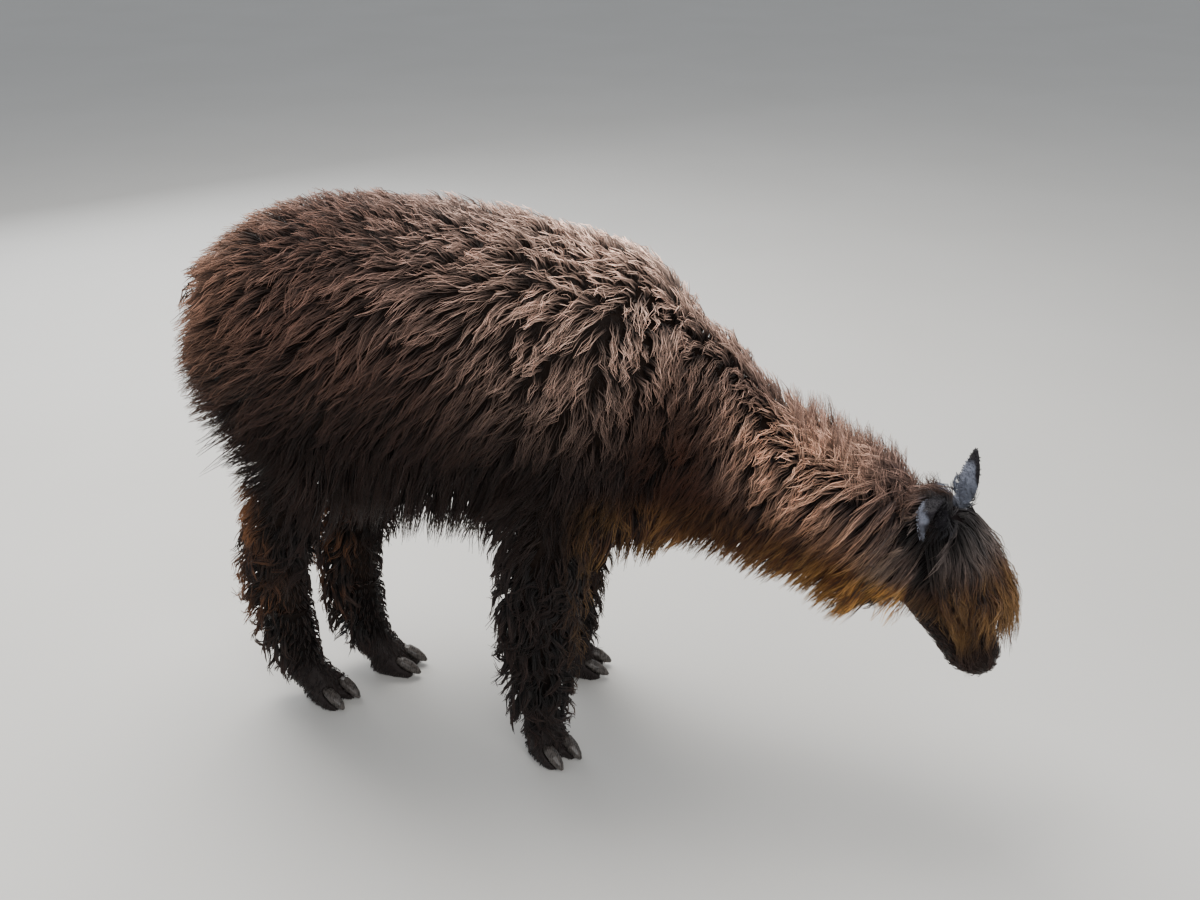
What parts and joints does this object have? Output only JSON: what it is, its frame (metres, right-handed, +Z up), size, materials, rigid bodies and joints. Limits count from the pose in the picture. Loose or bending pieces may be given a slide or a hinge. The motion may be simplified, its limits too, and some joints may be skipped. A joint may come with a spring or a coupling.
{
  "type": "grazing alpaca",
  "caption": "Life-size alpaca in full fleece, standing with its neck stretched forward and its head lowered to graze.",
  "frame": {"origin": "on the floor, under the middle of the model's box", "axes": "+X the way the animal faces, +Y its left side, +Z up"},
  "size_m": [1.4326, 0.4844, 0.9661],
  "materials": {
    "fleece": "thick soft dark brown fleece in pointed locks",
    "leg_wool": "shaggy curled black-brown wool",
    "face": "short near-black hair",
    "forelock": "long wavy brown wool with golden tips",
    "ear": "velvety grey-black hair",
    "eye": "wet dark eye",
    "horn": "worn grey horn"
  },
  "bodies": {
    "root": {"trunk": "fleece", "neck": "fleece", "tail": "fleece", "head": "face", "lower_jaw": "face", "forelock": "forelock", "ear_left": "ear", "ear_right": "ear", "eye_left": "eye", "eye_right": "eye", "fore_right_upper_leg": "leg_wool", "fore_right_lower_leg": "leg_wool", "fore_right_foot": "leg_wool", "fore_right_nail_outer": "horn", "fore_right_nail_inner": "horn", "fore_left_upper_leg": "leg_wool", "fore_left_lower_leg": "leg_wool", "fore_left_foot": "leg_wool", "fore_left_nail_outer": "horn", "fore_left_nail_inner": "horn", "hind_right_upper_leg": "leg_wool", "hind_right_lower_leg": "leg_wool", "hind_right_foot": "leg_wool", "hind_right_nail_outer": "horn", "hind_right_nail_inner": "horn", "hind_left_upper_leg": "leg_wool", "hind_left_lower_leg": "leg_wool", "hind_left_foot": "leg_wool", "hind_left_nail_outer": "horn", "hind_left_nail_inner": "horn"}
  },
  "joints": []
}
